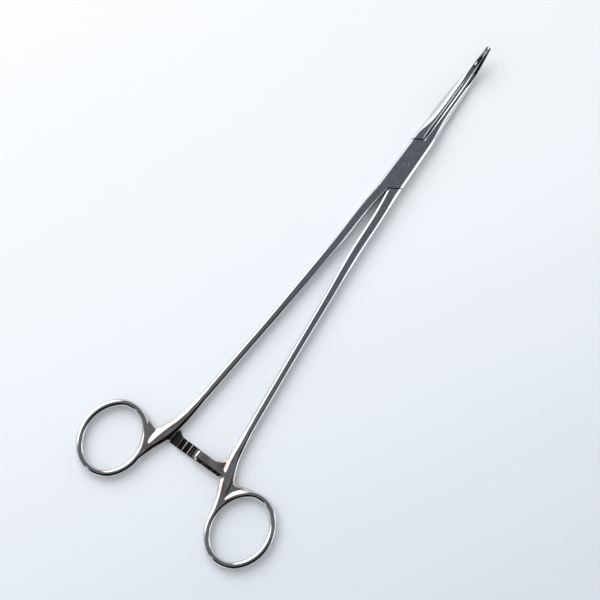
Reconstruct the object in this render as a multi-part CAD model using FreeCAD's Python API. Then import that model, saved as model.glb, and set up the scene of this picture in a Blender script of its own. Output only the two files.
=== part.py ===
"""Curved box-lock haemostatic forceps, closed, lying flat with the jaw tips curving up.

Three pieces, as the real instrument comes apart: the female half (left shank and ring, the box
of the lock, right jaw), the male half (right shank and ring, the tongue, left jaw) and the rivet
that joins them. +Y runs to the tips, +X to the right, +Z up. The origin is on the rivet's axis,
at the lock's flat underside. Millimetres.
"""

import FreeCAD, Part
import math
import os

# Lock
lock_thickness = 5.4
lock_reach = 12.9
lock_root = 1.6
lock_width_front = 8.7
lock_width_rear = 9.9
shoulder_angle = 32.0
shoulder_gap = 0.35
lock_bevel = 0.86
inner_gap = 0.34
inner_bevel = 0.5

# Tongue, slot and rivet
tongue_thickness = 1.9
tongue_width = 4.8
tongue_clearance = 0.05
tongue_end_gap = 0.15
tongue_corner_back = 10.6
lobe_clearance = 0.25
open_angle = 40.0
stop_margin = 1.0
rivet_diameter = 2.5
rivet_clearance = 0.04

# Jaws
jaw_bend_start = 42.0
jaw_bend_radius = 27.0
jaw_bend_angle = 46.0
jaw_bend_height = 2.5
jaw_root_stations = 2
jaw_neck_start = 26.0
jaw_neck_width = 3.95
jaw_neck_height = 4.8
jaw_bend_width = 3.15
jaw_bend_thickness = 3.6
jaw_mid_width = 2.45
jaw_mid_thickness = 3.0
jaw_point_width = 1.35
jaw_point_thickness = 2.0
jaw_tip_width = 0.75
jaw_tip_thickness = 1.2
jaw_mid_share = 0.36
jaw_point_share = 0.8
jaw_bevel = 0.6
jaw_bevel_share = 0.25
jaw_back_radius = 1.9
jaw_back_share = 0.48

# Jaw teeth
tooth_pitch = 0.9
tooth_depth = 0.45
tooth_land = 0.08
tooth_clearance = 0.1
teeth_start = 38.5
teeth_end_margin = 0.4

# Shanks
shank_neck_back = 22.0
shank_neck_offset = 3.27
shank_neck_width = 4.35
shank_neck_height = 5.2
shank_neck_lift = 0.08
shank_bevel = 0.6
shank_bend_back = 45.0
shank_bend_offset = 4.5
shank_bend_width = 4.0
shank_bend_height = 4.8
shank_bend_lift = 0.2
shank_round_back = 68.0
shank_round_offset = 6.5
shank_round_width = 3.8
shank_round_height = 4.4
shank_round_lift = 0.3
shank_mid_back = 95.0
shank_mid_offset = 8.72
shank_mid_width = 3.65
shank_edge_radius = 1.2

# Handles
handle_back = 130.0
handle_offset = 11.9
handle_width = 3.8
handle_stations = 3
handle_angle = 6.0
handle_straight = 8.0
handle_thickness = 4.6
handle_edge = 0.95
ring_back = 169.8
ring_offset = 33.6
ring_hole_width = 23.7
ring_hole_length = 29.7
ring_band = 2.9
ring_end_radius = 9.8
ring_shoulder_angle = 102.0
notch_back = 155.4
notch_offset = 20.9
notch_radius = 0.9
heel_back = 156.5
heel_radius = 2.0

# Ratchet
arm_front_back = 152.0
arm_width = 5.2
arm_skin_lift = 0.45
arm_gap = 0.1
arm_edge = 0.45
arm_tip_radius = 1.2
female_arm_past_middle = 5.2
male_arm_past_middle = 0.5
female_arm_root_radius = 4.2
male_arm_root_radius = 5.5
ratchet_pitch = 2.7
ratchet_depth = 0.85
ratchet_land = 0.2
ratchet_first_crest = 9.35

# Values that follow from the sizes above
flat = 0.0
soft = 0.7
full = 1.0
quarter_pull = 4.0 / 3.0 * (math.sqrt(2.0) - 1.0)
seam_tolerance = 0.001
far = 30.0
over = 1.0
near = 0.01
lock_end = lock_reach + lock_root
half_gap = inner_gap / 2.0
slot_angle = math.radians(open_angle + stop_margin)
slot_half = tongue_width / 2.0 + tongue_clearance
tongue_half = tongue_width / 2.0
tongue_low = (lock_thickness - tongue_thickness) / 2.0
tongue_reach = lock_reach + shoulder_gap / math.cos(math.radians(shoulder_angle))
slot_reach = tongue_reach + tongue_end_gap
rivet_radius = rivet_diameter / 2.0
tooth_overlap = (tooth_depth - tooth_clearance) / 2.0
arm_split = handle_thickness / 2.0
ring_half_x = ring_hole_width / 2.0
ring_end_y = ring_hole_length / 2.0 - ring_end_radius
ring_spare = ring_half_x - ring_end_radius
ring_side_x = (ring_end_y ** 2 / ring_spare - ring_spare) / 2.0
ring_side_radius = ring_side_x + ring_half_x
ring_meet = math.atan2(ring_end_y, ring_side_x)
handle_lean = math.radians(handle_angle)


def vec(x, y, z=0.0):
    return FreeCAD.Vector(x, y, z)


def line(a, b):
    return Part.LineSegment(a, b).toShape()


def rounded(a, corner, b, roundness):
    """A corner from a to b: a straight bevel at roundness 0, a quarter ellipse at roundness 1."""
    pull = roundness * quarter_pull
    third = (b - a) * ((1.0 - roundness) / 3.0)
    curve = Part.BezierCurve()
    curve.setPoles([a, a + third + (corner - a) * pull, b - third + (corner - b) * pull, b])
    return curve.toShape()


def prism(points, low, high):
    """A flat outline in plan, given by its corners, between two heights."""
    corners = [vec(p[0], p[1], low) for p in points]
    face = Part.Face(Part.makePolygon(corners + corners[:1]))
    return face.extrude(vec(0.0, 0.0, high - low))


def solid_between(edges, low, high):
    """A flat outline in plan, given by its edges at height 0, between two heights."""
    face = Part.Face(Part.Wire(Part.__sortEdges__(edges)))
    face.translate(vec(0.0, 0.0, low))
    return face.extrude(vec(0.0, 0.0, high - low))


def mirrored(shape):
    return shape.mirror(vec(0.0, 0.0), vec(1.0, 0.0))


def joined(shapes):
    return shapes[0].multiFuse(shapes[1:], seam_tolerance).removeSplitter()


def tangent_arc(start, direction, end):
    """The circular arc that leaves start along direction and runs to end."""
    chord = end - start
    normal = vec(-direction.y, direction.x)
    radius = chord.Length ** 2 / (2.0 * chord.dot(normal))
    centre = start + normal * radius
    middle = (start + end) * 0.5 - centre
    middle.normalize()
    return Part.Arc(start, centre + middle * abs(radius), end).toShape()


def on_circle(centre, radius, angle):
    return vec(centre.x + radius * math.cos(angle), centre.y + radius * math.sin(angle))


def arc(centre, radius, start, end):
    points = [on_circle(centre, radius, angle) for angle in (start, (start + end) / 2.0, end)]
    return Part.Arc(*points).toShape()


def ring_arcs(band, shoulder):
    """The finger ring's oval, grown by a band: round its back and outer side to a shoulder at its front."""
    inner = vec(ring_offset + ring_side_x, -ring_back)
    back = vec(ring_offset, -ring_back - ring_end_y)
    outer = vec(ring_offset - ring_side_x, -ring_back)
    front = vec(ring_offset, -ring_back + ring_end_y)
    return [
        arc(inner, ring_side_radius + band, math.pi, math.pi + ring_meet),
        arc(back, ring_end_radius + band, math.pi + ring_meet, 2.0 * math.pi - ring_meet),
        arc(outer, ring_side_radius + band, -ring_meet, ring_meet),
        arc(front, ring_end_radius + band, ring_meet, shoulder),
    ]


def ring_hole():
    """The hole for a finger, through the handle."""
    inner = vec(ring_offset + ring_side_x, -ring_back)
    last = arc(inner, ring_side_radius, math.pi - ring_meet, math.pi)
    return solid_between(ring_arcs(0.0, math.pi - ring_meet) + [last], -over, handle_thickness + over)


def handle_inside(back):
    """How far from the middle the handle's straight inner side runs."""
    start = handle_offset - handle_width / 2.0 * math.cos(handle_lean)
    start_back = handle_back + handle_width / 2.0 * math.sin(handle_lean)
    return start + (back - start_back) * math.tan(handle_lean)


def lock_half_width(y):
    """Half the lock's width: it tapers evenly from the shanks to the jaws."""
    share = (y + lock_end) / (2.0 * lock_end)
    return (lock_width_rear + (lock_width_front - lock_width_rear) * share) / 2.0


def section(y, z, tilt, inside, outside, thickness, inner, outer, inner_round, outer_round):
    """A shank's or jaw's section in the right half: four sides and four bevelled or rounded corners.

    It stands across the piece at (y, z), leaning by tilt, from inside to outside of the middle.
    """
    low = -thickness / 2.0
    high = thickness / 2.0

    def at(x, height):
        return vec(x, y - height * math.sin(tilt), z + height * math.cos(tilt))

    edges = [
        line(at(inside, low + inner), at(inside, high - inner)),
        rounded(at(inside, high - inner), at(inside, high), at(inside + inner, high), inner_round),
        line(at(inside + inner, high), at(outside - outer, high)),
        rounded(at(outside - outer, high), at(outside, high), at(outside, high - outer), outer_round),
        line(at(outside, high - outer), at(outside, low + outer)),
        rounded(at(outside, low + outer), at(outside, low), at(outside - outer, low), outer_round),
        line(at(outside - outer, low), at(inside + inner, low)),
        rounded(at(inside + inner, low), at(inside, low), at(inside, low + inner), inner_round),
    ]
    return Part.Wire(edges)


def lock_section(y, inside, inner):
    """The lock's own section at y, from inside to the lock's bevelled side."""
    middle = lock_thickness / 2.0
    outside = lock_half_width(y)
    return section(y, middle, 0.0, inside, outside, lock_thickness, inner, lock_bevel, flat, flat)


def lock_strip(start, end):
    """One side of the lock at full thickness, where a shank or a jaw leaves it."""
    wires = [lock_section(y, half_gap, inner_bevel) for y in (start, end)]
    return Part.makeLoft(wires, True, True)


def lock_bar(start, end):
    """The lock across both sides."""
    bar = []
    for y in (start, end):
        half = lock_half_width(y)
        top = lock_thickness
        corners = [
            vec(lock_bevel - half, y, 0.0),
            vec(half - lock_bevel, y, 0.0),
            vec(half, y, lock_bevel),
            vec(half, y, top - lock_bevel),
            vec(half - lock_bevel, y, top),
            vec(lock_bevel - half, y, top),
            vec(-half, y, top - lock_bevel),
            vec(-half, y, lock_bevel),
        ]
        bar.append(Part.makePolygon(corners + corners[:1]))
    return Part.makeLoft(bar, True, True)


def behind_shoulder(reach):
    """All that lies behind the oblique rear edge of the lock, on the right, in plan."""
    rise = far * math.tan(math.radians(shoulder_angle))
    points = [(-far, -far), (far, -far), (far, rise - reach), (0.0, -reach), (-far, -reach)]
    return prism(points, -over, lock_thickness + over)


def turned_about_rivet(shape):
    return shape.copy().rotate(vec(0.0, 0.0), vec(0.0, 0.0, 1.0), 180.0)


def slot():
    """The way through the box, open to both sides as far as the tongue swings."""
    wall_x = (slot_half + slot_reach * math.sin(slot_angle)) / math.cos(slot_angle)
    corner_y = slot_half * math.tan(slot_angle / 2.0)
    end_y = math.sqrt(slot_reach ** 2 - slot_half ** 2)
    middle_y = math.sqrt(slot_reach ** 2 - slot_half ** 2 / 4.0)
    edges = []
    for side in (1.0, -1.0):
        end = vec(side * slot_half, side * end_y)
        middle = vec(side * slot_half / 2.0, side * middle_y)
        edges.append(line(vec(side * wall_x, -side * slot_reach), vec(side * slot_half, side * corner_y)))
        edges.append(line(vec(side * slot_half, side * corner_y), end))
        edges.append(Part.Arc(end, middle, vec(0.0, side * slot_reach)).toShape())
        edges.append(line(vec(0.0, side * slot_reach), vec(-side * wall_x, side * slot_reach)))
    low = tongue_low - tongue_clearance
    return solid_between(edges, low, lock_thickness - low)


def tongue():
    """The thin middle of the male half, with the lobes that fill the box's open sides when closed."""
    wall_tip_x = lock_half_width(0.0)
    wall_tip_y = (wall_tip_x * math.cos(slot_angle) - slot_half) / math.sin(slot_angle)
    lobe = math.hypot(wall_tip_x, wall_tip_y) + lobe_clearance
    waist_y = math.sqrt(lobe ** 2 - tongue_half ** 2)
    bow = math.atan2(waist_y, tongue_half) / 2.0
    edges = []
    for side in (1.0, -1.0):
        waist = vec(side * tongue_half, -side * waist_y)
        outer = vec(side * lobe, 0.0)
        bowed = vec(side * lobe * math.cos(bow), -side * lobe * math.sin(bow))
        root = vec(side * half_gap, -side * lock_end)
        corner = vec(-side * tongue_half, -side * tongue_corner_back)
        edges.append(line(root, vec(side * far, -side * lock_end)))
        edges.append(line(vec(side * far, -side * lock_end), vec(side * far, 0.0)))
        edges.append(line(vec(side * far, 0.0), outer))
        edges.append(Part.Arc(outer, bowed, waist).toShape())
        edges.append(line(waist, vec(side * tongue_half, side * tongue_corner_back)))
        edges.append(line(corner, vec(side * half_gap, -side * tongue_reach)))
        edges.append(line(vec(side * half_gap, -side * tongue_reach), root))
    blade = solid_between(edges, tongue_low, tongue_low + tongue_thickness)
    return blade.common(lock_bar(-lock_end, lock_end))


def rivet_hole(radius):
    return Part.makeCylinder(radius, lock_thickness + 2.0 * over, vec(0.0, 0.0, -over))


def jaw_path(angle):
    """The point on the jaws' curved middle line at an angle round the bend."""
    y = jaw_bend_start + jaw_bend_radius * math.sin(angle)
    z = jaw_bend_height + jaw_bend_radius * (1.0 - math.cos(angle))
    return y, z


def jaw():
    """The right jaw: flat inside with bevelled edges, half round outside, curving up to the tip."""
    inside = -tooth_overlap
    edge = jaw_bevel + tooth_overlap
    middle = lock_thickness / 2.0
    bend = math.radians(jaw_bend_angle)
    outside = lock_half_width(lock_end)
    root_bevel = inner_bevel + half_gap + tooth_overlap
    neck_z = (middle + jaw_bend_height) / 2.0
    wires = []
    for step in range(jaw_root_stations + 1):
        share = step / jaw_root_stations
        y = blend(lock_end, jaw_neck_start, share)
        z = blend(middle, neck_z, share)
        width = blend(outside, jaw_neck_width, share)
        height = blend(lock_thickness, jaw_neck_height, share)
        inner = blend(root_bevel, edge, share)
        outer = blend(lock_bevel, jaw_back_radius, share)
        wires.append(section(y, z, 0.0, inside, width, height, inner, outer, flat, soft * share))
    stations = (
        (0.0, jaw_bend_width, jaw_bend_thickness),
        (bend * jaw_mid_share, jaw_mid_width, jaw_mid_thickness),
        (bend * jaw_point_share, jaw_point_width, jaw_point_thickness),
        (bend, jaw_tip_width, jaw_tip_thickness),
    )
    for angle, width, thickness in stations:
        y, z = jaw_path(angle)
        inner = min(edge, thickness * jaw_bevel_share)
        outer = thickness * jaw_back_share
        wires.append(section(y, z, angle, inside, width, thickness, inner, outer, flat, full))
    blade = Part.makeLoft(wires, True, False)
    relief = Part.makeBox(far, teeth_start, far, vec(half_gap - far, 0.0, -far / 2.0))
    return blade.cut(relief)


def along_jaw(shape, along):
    """Carries a shape from the origin to a distance along the jaws' middle line from the first tooth."""
    straight = jaw_bend_start - teeth_start
    angle = max(0.0, (along - straight) / jaw_bend_radius)
    y, z = jaw_path(angle)
    shape.rotate(vec(0.0, 0.0), vec(1.0, 0.0), math.degrees(angle))
    shape.translate(vec(0.0, y + min(0.0, along - straight), z))
    return shape


def jaw_teeth(phase):
    """What is cut from the right jaw's inner face: grooves across it, and a little clearance at the tip."""
    bend_length = jaw_bend_radius * math.radians(jaw_bend_angle)
    length = jaw_bend_start - teeth_start + bend_length - teeth_end_margin
    half = (tooth_pitch - tooth_land) / 2.0
    widen = 1.0 + over / tooth_depth
    corners = [
        vec(-tooth_overlap - over, -half * widen, -far / 2.0),
        vec(-tooth_overlap + tooth_depth, 0.0, -far / 2.0),
        vec(-tooth_overlap - over, half * widen, -far / 2.0),
    ]
    cuts = []
    for i in range(int(length / tooth_pitch) + 2):
        groove = Part.Face(Part.makePolygon(corners + corners[:1])).extrude(vec(0.0, 0.0, far))
        cuts.append(along_jaw(groove, (i + phase) * tooth_pitch))
    tip = Part.makeBox(far, far, far, vec(tooth_clearance / 2.0 - far, 0.0, -far / 2.0))
    cuts.append(along_jaw(tip, length))
    return cuts


def shank():
    """The right shank: bevelled by the lock, round along the middle, bevelled again at the handle."""
    root_width = lock_half_width(-lock_end) - half_gap
    root = half_gap + root_width / 2.0
    neck = (shank_neck_width, shank_neck_lift, shank_neck_height, shank_bevel, shank_bevel)
    bend = (shank_bend_width, shank_bend_lift, shank_bend_height, shank_bevel, shank_bevel)
    middle = (shank_round_width, shank_round_lift, shank_round_height, shank_edge_radius, shank_edge_radius)
    wires = [
        shank_section(lock_end, root, root_width, 0.0, lock_thickness, inner_bevel, lock_bevel, flat),
        shank_section(shank_neck_back, shank_neck_offset, *neck, flat),
        shank_section(shank_bend_back, shank_bend_offset, *bend, flat),
        shank_section(shank_round_back, shank_round_offset, *middle, soft),
    ]
    for step in range(handle_stations + 1):
        share = step / handle_stations
        back = blend(shank_mid_back, handle_back, share)
        offset = blend(shank_mid_offset, handle_offset, share)
        width = blend(shank_mid_width, handle_width, share)
        lift = blend(shank_round_lift, 0.0, share)
        height = blend(shank_round_height, handle_thickness, share)
        edge = blend(shank_edge_radius, handle_edge, share)
        wires.append(shank_section(back, offset, width, lift, height, edge, edge, full * (1.0 - share)))
    wires[-1].rotate(vec(handle_offset, -handle_back), vec(0.0, 0.0, 1.0), handle_angle)
    return Part.makeLoft(wires, True, False)


def blend(start, end, share):
    return start + (end - start) * share


def shank_section(back, offset, width, lift, height, inner, outer, roundness):
    """The shank's section at a distance behind the rivet, width wide about its offset from the middle."""
    inside = offset - width / 2.0
    middle = lift + height / 2.0
    return section(-back, middle, 0.0, inside, inside + width, height, inner, outer, roundness, roundness)


def handle():
    """The right handle: the end of the shank, the neck and the finger ring, with all edges bevelled."""
    along = vec(math.sin(handle_lean), -math.cos(handle_lean))
    across = vec(math.cos(handle_lean), math.sin(handle_lean)) * (handle_width / 2.0)
    inner_start = vec(handle_offset, -handle_back) - across
    outer_start = vec(handle_offset, -handle_back) + across
    outer_bend = outer_start + along * handle_straight
    notch = vec(notch_offset, -notch_back)
    shoulder_at = math.radians(ring_shoulder_angle)
    front = vec(ring_offset, -ring_back + ring_end_y)
    shoulder = on_circle(front, ring_end_radius + ring_band, shoulder_at)
    shoulder_way = vec(-math.sin(shoulder_at), math.cos(shoulder_at))
    ring_inside = vec(ring_offset - ring_half_x - ring_band, -ring_back)
    heel = vec(handle_inside(heel_back), -heel_back)
    edges = [
        line(outer_start, outer_bend),
        tangent_arc(outer_bend, along, notch),
        tangent_arc(shoulder, shoulder_way, notch),
        *ring_arcs(ring_band, shoulder_at),
        tangent_arc(ring_inside, vec(0.0, 1.0), heel),
        line(heel, inner_start),
        line(inner_start, outer_start),
    ]
    plate = solid_between(edges, 0.0, handle_thickness)
    for corner, radius in ((notch, notch_radius), (heel, heel_radius)):
        upright = [e for e in plate.Edges if is_upright(e, corner)]
        plate = plate.makeFillet(radius, upright)
    plate = plate.cut(ring_hole())
    rims = [e for e in plate.Edges if is_level(e) and e.BoundBox.YMin < -handle_back - over]
    return plate.makeChamfer(handle_edge, rims)


def is_upright(edge, corner):
    """Whether an edge stands on a corner of the plan."""
    box = edge.BoundBox
    return box.ZLength > near and math.hypot(box.Center.x - corner.x, box.Center.y - corner.y) < near


def is_level(edge):
    return edge.BoundBox.ZLength < near


def ratchet_arm(past_middle, root_radius, low, high, skin):
    """A ratchet arm of the right half in plan, bevelled along the edges of its skin side."""
    front = -arm_front_back
    back = front - arm_width
    side = handle_inside(arm_front_back)
    inside = side + handle_width / 2.0
    tip = -past_middle
    centre = vec(side - root_radius, front + root_radius)
    root_start = vec(side - root_radius, front)
    root_end = vec(side, front + root_radius)
    edges = [
        line(vec(tip, back), vec(inside, back)),
        line(vec(inside, back), vec(inside, front + root_radius)),
        line(vec(inside, front + root_radius), root_end),
        arc(centre, root_radius, -math.pi / 2.0, 0.0),
        line(root_start, vec(tip, front)),
        line(vec(tip, front), vec(tip, back)),
    ]
    arm = solid_between(edges, low, high)
    for y in (back, front):
        upright = [e for e in arm.Edges if is_upright(e, vec(tip, y))]
        arm = arm.makeFillet(arm_tip_radius, upright)
    rims = [e for e in arm.Edges if is_level(e) and abs(e.BoundBox.ZMin - skin) < near]
    rims = [e for e in rims if e.BoundBox.XMin < side - over]
    return arm.makeChamfer(arm_edge, rims)


def ratchet_cuts(past_middle, crest, way):
    """Saw teeth across an arm: way is +1 for teeth that point up and -1 for teeth that point down."""
    side = handle_inside(arm_front_back)
    y = over - arm_front_back + max(female_arm_root_radius, male_arm_root_radius)
    depth = arm_width + max(female_arm_root_radius, male_arm_root_radius) + 2.0 * over
    floor = crest - way * ratchet_depth
    past = crest + way * over
    count = int((ratchet_first_crest + past_middle) / ratchet_pitch) + 1
    cuts = []
    for i in range(count):
        x = ratchet_first_crest - i * ratchet_pitch
        start = x - ratchet_land
        end = x - ratchet_pitch
        outline = [(start, crest), (start, past), (end, past), (end, floor)]
        cuts.append(upright_prism(outline, y, depth))
    root = side + over
    relief = [(root, floor), (root, past), (ratchet_first_crest, past), (ratchet_first_crest, floor)]
    cuts.append(upright_prism(relief, y, depth))
    return cuts


def upright_prism(outline, y, depth):
    """An outline in X and Z, carried back along Y from y."""
    corners = [vec(x, y, z) for x, z in outline]
    return Part.Face(Part.makePolygon(corners + corners[:1])).extrude(vec(0.0, -depth, 0.0))


def female_half():
    """Left shank, ring and lower ratchet arm, the box with its slot, and the right jaw."""
    crest = arm_split - arm_gap / 2.0
    arm = ratchet_arm(female_arm_past_middle, female_arm_root_radius, arm_skin_lift, crest, arm_skin_lift)
    arm = arm.cut(ratchet_cuts(female_arm_past_middle, crest, 1.0))
    left = mirrored(joined([handle(), shank(), lock_strip(-lock_end, -lock_reach), arm]))
    box = lock_bar(-lock_reach, lock_reach)
    for corner in (behind_shoulder(lock_reach), turned_about_rivet(behind_shoulder(lock_reach))):
        box = box.cut(corner)
    right = jaw().cut(jaw_teeth(0.0))
    whole = joined([left, box, lock_strip(lock_reach, lock_end), right])
    return whole.cut(slot()).cut(rivet_hole(rivet_radius))


def male_half():
    """Right shank, ring and upper ratchet arm, the tongue, and the left jaw."""
    crest = arm_split + arm_gap / 2.0
    skin = handle_thickness - arm_skin_lift
    arm = ratchet_arm(male_arm_past_middle, male_arm_root_radius, crest, skin, skin)
    arm = arm.cut(ratchet_cuts(male_arm_past_middle, crest, -1.0))
    rear = lock_strip(-lock_end, 0.0).common(behind_shoulder(tongue_reach))
    front = mirrored(lock_strip(0.0, lock_end)).common(turned_about_rivet(behind_shoulder(tongue_reach)))
    left = mirrored(jaw().cut(jaw_teeth(0.5)))
    whole = joined([handle(), shank(), arm, rear, tongue(), front, left])
    return whole.cut(rivet_hole(rivet_radius + rivet_clearance))


def lock_pin():
    """The rivet, headed flush with both faces of the box."""
    return Part.makeCylinder(rivet_radius, lock_thickness)


os.makedirs("parts", exist_ok=True)
for name, make in (("female_half", female_half), ("male_half", male_half), ("lock_pin", lock_pin)):
    shape = make()
    print(name, shape.ShapeType, len(shape.Solids), shape.isValid(), round(shape.Volume, 2))
    shape.exportStep("parts/" + name + ".step")
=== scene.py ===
"""Curved box-lock forceps in polished steel, lying on a pale table under a large soft light."""

import math

import bmesh
import bpy
import numpy as np
from mathutils import Matrix, Vector


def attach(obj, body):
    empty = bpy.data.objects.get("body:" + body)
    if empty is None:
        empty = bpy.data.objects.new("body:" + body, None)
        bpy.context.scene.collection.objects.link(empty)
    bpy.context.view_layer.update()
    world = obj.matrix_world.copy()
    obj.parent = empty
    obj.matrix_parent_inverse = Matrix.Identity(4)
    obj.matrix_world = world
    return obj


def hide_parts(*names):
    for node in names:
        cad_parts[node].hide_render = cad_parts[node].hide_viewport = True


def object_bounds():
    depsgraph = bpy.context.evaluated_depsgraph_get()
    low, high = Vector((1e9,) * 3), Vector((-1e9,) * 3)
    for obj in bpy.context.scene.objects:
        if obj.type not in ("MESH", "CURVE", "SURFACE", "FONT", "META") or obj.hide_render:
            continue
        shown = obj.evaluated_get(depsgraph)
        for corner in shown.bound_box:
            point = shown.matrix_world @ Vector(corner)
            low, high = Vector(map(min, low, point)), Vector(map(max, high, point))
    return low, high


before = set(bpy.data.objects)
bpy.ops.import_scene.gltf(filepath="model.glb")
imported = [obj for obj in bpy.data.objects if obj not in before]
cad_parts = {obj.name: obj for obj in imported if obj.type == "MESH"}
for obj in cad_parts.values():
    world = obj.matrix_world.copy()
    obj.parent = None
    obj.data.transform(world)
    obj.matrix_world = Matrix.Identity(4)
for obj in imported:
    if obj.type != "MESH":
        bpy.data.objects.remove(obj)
cad_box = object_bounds()
mm = 0.001


# Node trees written as arithmetic, and the making of materials and objects.


class Value:
    """A number's socket in a node tree, which Python arithmetic extends with Math nodes."""

    def __init__(self, tree, socket):
        self.tree = tree
        self.socket = socket

    def maths(self, operation, *operands):
        return self.tree.add("ShaderNodeMath", {"operation": operation}, *operands)

    def __add__(self, other):
        return self.maths("ADD", self, other)

    __radd__ = __add__

    def __sub__(self, other):
        return self.maths("SUBTRACT", self, other)

    def __rsub__(self, other):
        return self.maths("SUBTRACT", other, self)

    def __mul__(self, other):
        return self.maths("MULTIPLY", self, other)

    __rmul__ = __mul__

    def __truediv__(self, other):
        return self.maths("DIVIDE", self, other)

    def __abs__(self):
        return self.maths("ABSOLUTE", self)

    def at_least(self, other):
        return self.maths("MAXIMUM", self, other)

    def at_most(self, other):
        return self.maths("MINIMUM", self, other)


class Tree:
    """A node tree to which one method adds every kind of node."""

    def __init__(self, nodes):
        self.nodes = nodes
        nodes.nodes.clear()

    def add(self, kind, settings, *inputs, output=0, **named):
        """Adds a node: its settings, then its inputs in order, then those given by socket name."""
        node = self.nodes.nodes.new(kind)
        for name, setting in settings.items():
            if name == "stops":
                self.set_stops(node.color_ramp, setting)
            else:
                setattr(node, name, setting)
        for number, given in enumerate(inputs):
            self.feed(node.inputs[number], given)
        for name, given in named.items():
            self.feed(node.inputs[name.replace("_", " ")], given)
        return Value(self, node.outputs[output]) if node.outputs else node

    def set_stops(self, ramp, stops):
        while len(ramp.elements) < len(stops):
            ramp.elements.new(1.0)
        for element, (place, colour) in zip(ramp.elements, stops):
            element.position = place
            element.color = colour

    def feed(self, socket, given):
        if isinstance(given, Value):
            self.nodes.links.new(given.socket, socket)
        elif given is not None:
            socket.default_value = given

    def parts(self, vector):
        """The three numbers of a vector."""
        node = self.nodes.nodes.new("ShaderNodeSeparateXYZ")
        self.feed(node.inputs[0], vector)
        return [Value(self, output) for output in node.outputs]

    def smoothly(self, value, start, end):
        """0 where the value is at start, 1 at end, with a smooth change between."""
        step = {"interpolation_type": "SMOOTHSTEP"}
        return self.add("ShaderNodeMapRange", step, value, start, end, 0.0, 1.0)

    def fading(self, value, start, end):
        """1 where the value is at start, 0 at end."""
        return 1.0 - self.smoothly(value, start, end)

    def along(self, vector, direction):
        """How far a vector reaches along a direction."""
        settings = {"operation": "DOT_PRODUCT"}
        return self.add("ShaderNodeVectorMath", settings, vector, tuple(direction), output=1)

    def noise(self, vector, scale, detail, **named):
        kind = "ShaderNodeTexNoise"
        return self.add(kind, {}, Vector=vector, Scale=scale, Detail=detail, **named)

    def colour_between(self, share, first, second):
        mix = self.nodes.nodes.new("ShaderNodeMix")
        mix.data_type = "RGBA"
        self.feed(mix.inputs["Factor"], share)
        self.feed(mix.inputs[6], first)
        self.feed(mix.inputs[7], second)
        return Value(self, mix.outputs[2])


def new_material(name):
    material = bpy.data.materials.new(name)
    material.use_nodes = True
    return material, Tree(material.node_tree)


def new_object(name, mesh, material):
    mesh.materials.clear()
    mesh.materials.append(material)
    made = bpy.data.objects.new(name, mesh)
    bpy.context.scene.collection.objects.link(made)
    return made


# The table: a smooth, pale blue-white laminate board that the forceps lie on.
# It is not part of the object. It takes the soft shadow and fills the picture.

axis_angle = math.radians(54.4)
picture_right = Vector((math.sin(axis_angle), math.cos(axis_angle), 0.0))
picture_up = Vector((-math.cos(axis_angle), math.sin(axis_angle), 0.0))
picture_middle = Vector((-0.003142, -0.074589, 0.0))
# Painted light falloff: the board darkens and turns bluer away from the softbox, to the picture's
# bottom.
light_falloff_way = picture_right * 0.35 - picture_up * 0.94
light_falloff_reach = 0.151
mottle_share = 0.08
board_half = 2.5

table_material, tree = new_material("table_laminate")
place = tree.add("ShaderNodeTexCoord", {}, output=3)
across = tree.along(place, light_falloff_way)
painted_falloff = (across - light_falloff_way.dot(picture_middle) + light_falloff_reach) / (2.0 * light_falloff_reach)
mottle = tree.noise(place, 9.0, 3.0)
stops = (
    (0.0, (0.944, 0.940, 0.940, 1.0)),
    (0.5, (0.912, 0.950, 0.978, 1.0)),
    (1.0, (0.790, 0.831, 0.888, 1.0)),
)
tone = tree.add("ShaderNodeValToRGB", {"stops": stops}, painted_falloff + (mottle - 0.5) * mottle_share)
grain = tree.noise(place, 1400.0, 2.0)
bump = tree.add("ShaderNodeBump", {}, Strength=0.05, Distance=0.0001, Height=grain)
skin = tree.add("ShaderNodeBsdfPrincipled", {}, Base_Color=tone, Roughness=0.55, Normal=bump)
tree.add("ShaderNodeOutputMaterial", {}, skin)
low = cad_box[0][2]
ways = ((-1.0, -1.0), (1.0, -1.0), (1.0, 1.0), (-1.0, 1.0))
board = bpy.data.meshes.new("table")
board.from_pydata([(x * board_half, y * board_half, low) for x, y in ways], [], [(0, 1, 2, 3)])
new_object("table", board, table_material)


# The light: a softbox beyond the top of the picture in a plain pale room. Polished steel also
# mirrors the room's parts: a window and a smaller one, a dim ceiling, a bright wall on the right,
# and two dark shapes, beyond the rings and the lower right, with a small lamp over the rings.

window_strength = 2.2
side_window_strength = 1.6
small_lamp_strength = 3.2
wall_strength = 1.1
ceiling_dimness = 0.81
shape_darkness = 0.985
clutter_least = 0.65
clutter_range = 0.7
brightest = 4.0

world = bpy.data.worlds.new("room")
bpy.context.scene.world = world
world.use_nodes = True
tree = Tree(world.node_tree)
way = tree.add("ShaderNodeTexCoord", {}, output=0)
height = tree.add("ShaderNodeSeparateXYZ", {}, way, output=2)


def glow(direction, inner, outer):
    """1 for rays within an angle of a direction, falling to 0 at a wider angle."""
    nearness = tree.along(way, direction.normalized())
    return tree.smoothly(nearness, math.cos(math.radians(outer)), math.cos(math.radians(inner)))


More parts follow.
